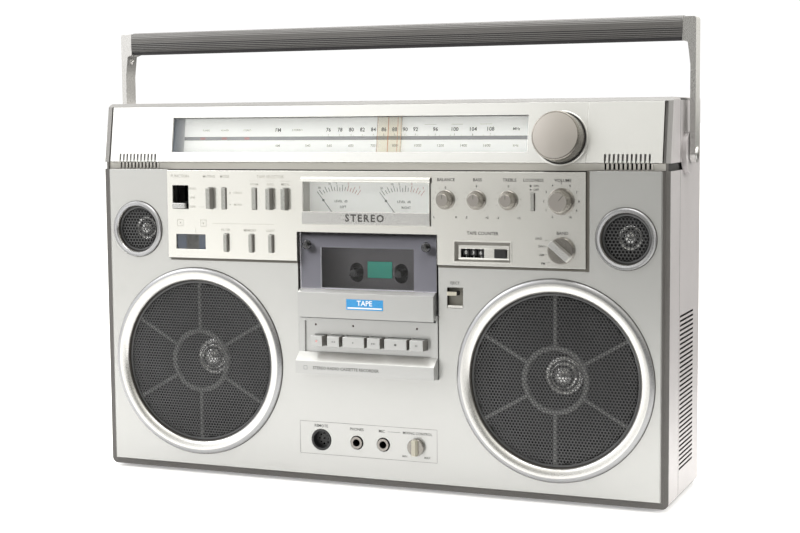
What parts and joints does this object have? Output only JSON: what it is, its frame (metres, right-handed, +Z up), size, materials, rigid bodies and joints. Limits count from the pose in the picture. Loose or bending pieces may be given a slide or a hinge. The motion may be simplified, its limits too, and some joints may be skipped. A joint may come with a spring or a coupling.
{
  "type": "portable stereo radio cassette recorder",
  "caption": "Portable stereo radio cassette recorder with twin speakers behind mesh, a front tape door, slanted tuner dial, level meters and a folding carry handle.",
  "frame": {"origin": "centre of the overall box in plan, at the underside of the rubber feet, with the carry handle upright", "axes": "+Z up; +X to the right as seen from the front; -Y out of the front, so the speakers and controls face -Y"},
  "size_m": [0.549, 0.1428, 0.406],
  "materials": {
    "border_plastic": "fine grained charcoal moulding",
    "case_plastic": "light grey painted moulding",
    "silver_panel": "satin light grey metallic",
    "champagne_panel": "satin anodised, pale champagne",
    "tuner_silver": "satin near-white silver",
    "clear_plastic": "clear moulded window",
    "smoked_plastic": "smoked clear plastic",
    "scale_print": "printed dial plate",
    "meter_face": "printed meter face",
    "bright_trim": "satin chrome ring",
    "grille_metal": "black perforated steel",
    "cone_paper": "black cone with bright dust cap",
    "foot_rubber": "black rubber",
    "chassis_steel": "grey painted steel",
    "head_metal": "polished head metal",
    "circuit_board": "green circuit board",
    "belt_rubber": "black belt rubber",
    "socket_metal": "black and nickel sockets",
    "screw_steel": "blackened steel",
    "grip_plastic": "ribbed dark grey moulding",
    "arm_metal": "satin cast arm",
    "knob_finish": "warm grey turned knob",
    "button_finish": "silver plated button",
    "key_finish": "pale silver key",
    "black_plastic": "black moulding",
    "pointer_orange": "clear tab with orange lines",
    "lever_beige": "beige lever",
    "aerial_chrome": "polished chrome tube",
    "wheel_brass": "turned brass",
    "wheel_steel": "turned steel"
  },
  "bodies": {
    "cabinet": {"front_cabinet": "border_plastic", "rear_cabinet": "case_plastic", "front_panel": "silver_panel", "tuner_panel": "tuner_silver", "control_panel": "champagne_panel", "clear_windows": "clear_plastic", "dial_scale": "scale_print", "meter_unit": "meter_face", "deck_fascia": "champagne_panel", "speaker_rings": "bright_trim", "speaker_grilles": "grille_metal", "speaker_drivers": "cone_paper", "rubber_feet": "foot_rubber", "deck_chassis": "chassis_steel", "tape_heads": "head_metal", "electronics": "circuit_board", "drive_belt": "belt_rubber", "jack_sockets": "socket_metal", "case_screws": "screw_steel"},
    "handle": {"handle_grip": "grip_plastic", "handle_arms": "arm_metal"},
    "door": {"door_frame": "champagne_panel", "door_lens": "smoked_plastic"},
    "tuning_knob": {"tuning_knob": "knob_finish"},
    "dial_pointer": {"dial_pointer": "pointer_orange"},
    "volume_knob": {"volume_knob": "knob_finish"},
    "balance_knob": {"balance_knob": "knob_finish"},
    "bass_knob": {"bass_knob": "knob_finish"},
    "treble_knob": {"treble_knob": "knob_finish"},
    "band_knob": {"band_knob": "knob_finish"},
    "mixing_knob": {"mixing_knob": "knob_finish"},
    "function_lever": {"function_lever": "button_finish"},
    "muting_button": {"muting_button": "button_finish"},
    "mode_button": {"mode_button": "button_finish"},
    "normal_tape_button": {"normal_tape_button": "button_finish"},
    "chrome_tape_button": {"chrome_tape_button": "button_finish"},
    "metal_tape_button": {"metal_tape_button": "button_finish"},
    "filter_button": {"filter_button": "button_finish"},
    "memory_button": {"memory_button": "button_finish"},
    "lamp_button": {"lamp_button": "button_finish"},
    "loudness_button": {"loudness_button": "button_finish"},
    "record_key": {"record_key": "key_finish"},
    "rewind_key": {"rewind_key": "key_finish"},
    "play_key": {"play_key": "key_finish"},
    "forward_key": {"forward_key": "key_finish"},
    "stop_key": {"stop_key": "key_finish"},
    "pause_key": {"pause_key": "key_finish"},
    "reset_button": {"reset_button": "black_plastic"},
    "eject_lever": {"eject_lever": "lever_beige"},
    "left_needle": {"left_needle": "black_plastic"},
    "right_needle": {"right_needle": "black_plastic"},
    "battery_cover": {"battery_cover": "case_plastic"},
    "antenna_swivel": {"antenna_swivel": "aerial_chrome"},
    "antenna_tube": {"antenna_tube": "aerial_chrome"},
    "antenna_rod": {"antenna_rod": "aerial_chrome"},
    "flywheel": {"flywheel": "wheel_steel"},
    "motor_pulley": {"motor_pulley": "wheel_brass"},
    "take_up_spindle": {"take_up_spindle": "black_plastic"},
    "supply_spindle": {"supply_spindle": "black_plastic"},
    "counter_wheels": {"counter_wheels": "black_plastic"}
  },
  "joints": [
    {"name": "handle_swing", "type": "hinge", "parent": "cabinet", "child": "handle", "pos_m": [0, 0.00193, 0.293], "axis": [-1, 0, 0], "range_deg": [0, 92]},
    {"name": "tuning_spin", "type": "hinge", "parent": "cabinet", "child": "tuning_knob", "pos_m": [0.1731, -0.05037, 0.30595], "axis": [0, 0.9877, -0.1564], "range_deg": [-1290, 740]},
    {"name": "pointer_slide", "type": "slide", "parent": "cabinet", "child": "dial_pointer", "axis": [1, 0, 0], "range_m": [-0.195, 0.112]},
    {"name": "volume_turn", "type": "hinge", "parent": "cabinet", "child": "volume_knob", "pos_m": [0.1755, -0.05357, 0.2545], "axis": [0, 1, 0], "range_deg": [-190, 110]},
    {"name": "balance_turn", "type": "hinge", "parent": "cabinet", "child": "balance_knob", "pos_m": [0.074, -0.05357, 0.2548], "axis": [0, 1, 0], "range_deg": [-140, 140]},
    {"name": "bass_turn", "type": "hinge", "parent": "cabinet", "child": "bass_knob", "pos_m": [0.1018, -0.05357, 0.2548], "axis": [0, 1, 0], "range_deg": [-140, 140]},
    {"name": "treble_turn", "type": "hinge", "parent": "cabinet", "child": "treble_knob", "pos_m": [0.1299, -0.05357, 0.2548], "axis": [0, 1, 0], "range_deg": [-140, 140]},
    {"name": "band_turn", "type": "hinge", "parent": "cabinet", "child": "band_knob", "pos_m": [0.1757, -0.05357, 0.214], "axis": [0, 1, 0], "range_deg": [-75, 0]},
    {"name": "mixing_turn", "type": "hinge", "parent": "cabinet", "child": "mixing_knob", "pos_m": [0.0452, -0.05357, 0.0402], "axis": [0, 1, 0], "range_deg": [-140, 140]},
    {"name": "function_slide", "type": "slide", "parent": "cabinet", "child": "function_lever", "axis": [0, 0, 1], "range_m": [0, 0.015]},
    {"name": "muting_push", "type": "slide", "parent": "cabinet", "child": "muting_button", "axis": [0, 1, 0], "range_m": [0, 0.0035]},
    {"name": "mode_push", "type": "slide", "parent": "cabinet", "child": "mode_button", "axis": [0, 1, 0], "range_m": [-0.0035, 0]},
    {"name": "normal_tape_push", "type": "slide", "parent": "cabinet", "child": "normal_tape_button", "axis": [0, 1, 0], "range_m": [-0.0035, 0]},
    {"name": "chrome_tape_push", "type": "slide", "parent": "cabinet", "child": "chrome_tape_button", "axis": [0, 1, 0], "range_m": [0, 0.0035]},
    {"name": "metal_tape_push", "type": "slide", "parent": "cabinet", "child": "metal_tape_button", "axis": [0, 1, 0], "range_m": [0, 0.0035]},
    {"name": "filter_push", "type": "slide", "parent": "cabinet", "child": "filter_button", "axis": [0, 1, 0], "range_m": [0, 0.0035]},
    {"name": "memory_push", "type": "slide", "parent": "cabinet", "child": "memory_button", "axis": [0, 1, 0], "range_m": [0, 0.0035]},
    {"name": "lamp_push", "type": "slide", "parent": "cabinet", "child": "lamp_button", "axis": [0, 1, 0], "range_m": [0, 0.0035]},
    {"name": "loudness_push", "type": "slide", "parent": "cabinet", "child": "loudness_button", "axis": [0, 1, 0], "range_m": [-0.0035, 0]},
    {"name": "record_press", "type": "slide", "parent": "cabinet", "child": "record_key", "axis": [0, 1, 0], "range_m": [0, 0.005], "stiffness_N_per_m": 250, "springref_m": -0.003},
    {"name": "rewind_press", "type": "slide", "parent": "cabinet", "child": "rewind_key", "axis": [0, 1, 0], "range_m": [0, 0.005], "stiffness_N_per_m": 250, "springref_m": -0.003},
    {"name": "play_press", "type": "slide", "parent": "cabinet", "child": "play_key", "axis": [0, 1, 0], "range_m": [0, 0.005], "stiffness_N_per_m": 250, "springref_m": -0.003},
    {"name": "forward_press", "type": "slide", "parent": "cabinet", "child": "forward_key", "axis": [0, 1, 0], "range_m": [0, 0.005], "stiffness_N_per_m": 250, "springref_m": -0.003},
    {"name": "stop_press", "type": "slide", "parent": "cabinet", "child": "stop_key", "axis": [0, 1, 0], "range_m": [0, 0.005], "stiffness_N_per_m": 250, "springref_m": -0.003},
    {"name": "pause_press", "type": "slide", "parent": "cabinet", "child": "pause_key", "axis": [0, 1, 0], "range_m": [0, 0.005], "stiffness_N_per_m": 250, "springref_m": -0.003},
    {"name": "door_open", "type": "hinge", "parent": "cabinet", "child": "door", "pos_m": [0, -0.05607, 0.153], "axis": [1, 0, 0], "range_deg": [0, 38]},
    {"name": "reset_push", "type": "slide", "parent": "cabinet", "child": "reset_button", "axis": [0, 1, 0], "range_m": [0, 0.003], "stiffness_N_per_m": 150, "springref_m": -0.002},
    {"name": "eject_slide", "type": "slide", "parent": "cabinet", "child": "eject_lever", "axis": [0, 0, -1], "range_m": [0, 0.008], "stiffness_N_per_m": 200, "springref_m": -0.004},
    {"name": "left_needle_swing", "type": "hinge", "parent": "cabinet", "child": "left_needle", "pos_m": [-0.0298, -0.05357, 0.2358], "axis": [0, 1, 0], "range_deg": [0, 76], "stiffness_Nm_per_rad": 0.002, "springref_deg": -11.46},
    {"name": "right_needle_swing", "type": "hinge", "parent": "cabinet", "child": "right_needle", "pos_m": [0.0298, -0.05357, 0.2358], "axis": [0, 1, 0], "range_deg": [0, 76], "stiffness_Nm_per_rad": 0.002, "springref_deg": -11.46},
    {"name": "battery_cover_tilt", "type": "hinge", "parent": "cabinet", "child": "battery_cover", "pos_m": [0, 0.07143, 0.0128], "axis": [-1, 0, 0], "range_deg": [0, 95]},
    {"name": "antenna_turn", "type": "hinge", "parent": "cabinet", "child": "antenna_swivel", "pos_m": [0.238, 0.06493, 0.329], "axis": [0, 0, -1], "range_deg": [0, 120]},
    {"name": "antenna_tilt", "type": "hinge", "parent": "antenna_swivel", "child": "antenna_tube", "pos_m": [0.238, 0.06493, 0.3325], "axis": [0, 1, 0], "range_deg": [0, 90]},
    {"name": "antenna_extend", "type": "slide", "parent": "antenna_tube", "child": "antenna_rod", "axis": [-1, 0, 0], "range_m": [0, 0.28]},
    {"name": "flywheel_spin", "type": "hinge", "parent": "cabinet", "child": "flywheel", "pos_m": [0.03, -0.05357, 0.1515], "axis": [0, 1, 0], "continuous": true},
    {"name": "motor_spin", "type": "hinge", "parent": "cabinet", "child": "motor_pulley", "pos_m": [-0.04, -0.05357, 0.123], "axis": [0, 1, 0], "continuous": true},
    {"name": "take_up_spin", "type": "hinge", "parent": "cabinet", "child": "take_up_spindle", "pos_m": [0.02125, -0.05357, 0.1877], "axis": [0, 1, 0], "continuous": true},
    {"name": "supply_spin", "type": "hinge", "parent": "cabinet", "child": "supply_spindle", "pos_m": [-0.02125, -0.05357, 0.1877], "axis": [0, 1, 0], "continuous": true},
    {"name": "counter_spin", "type": "hinge", "parent": "cabinet", "child": "counter_wheels", "pos_m": [0, -0.04657, 0.21], "axis": [1, 0, 0], "continuous": true}
  ],
  "couplings": [
    {"joint": "pointer_slide", "follows": "tuning_spin", "m_per_rad": 0.0085},
    {"joint": "motor_spin", "follows": "flywheel_spin", "ratio": 5.6},
    {"joint": "take_up_spin", "follows": "flywheel_spin", "ratio": 0.3},
    {"joint": "supply_spin", "follows": "flywheel_spin", "ratio": 0.3},
    {"joint": "counter_spin", "follows": "flywheel_spin", "ratio": 0.1}
  ]
}
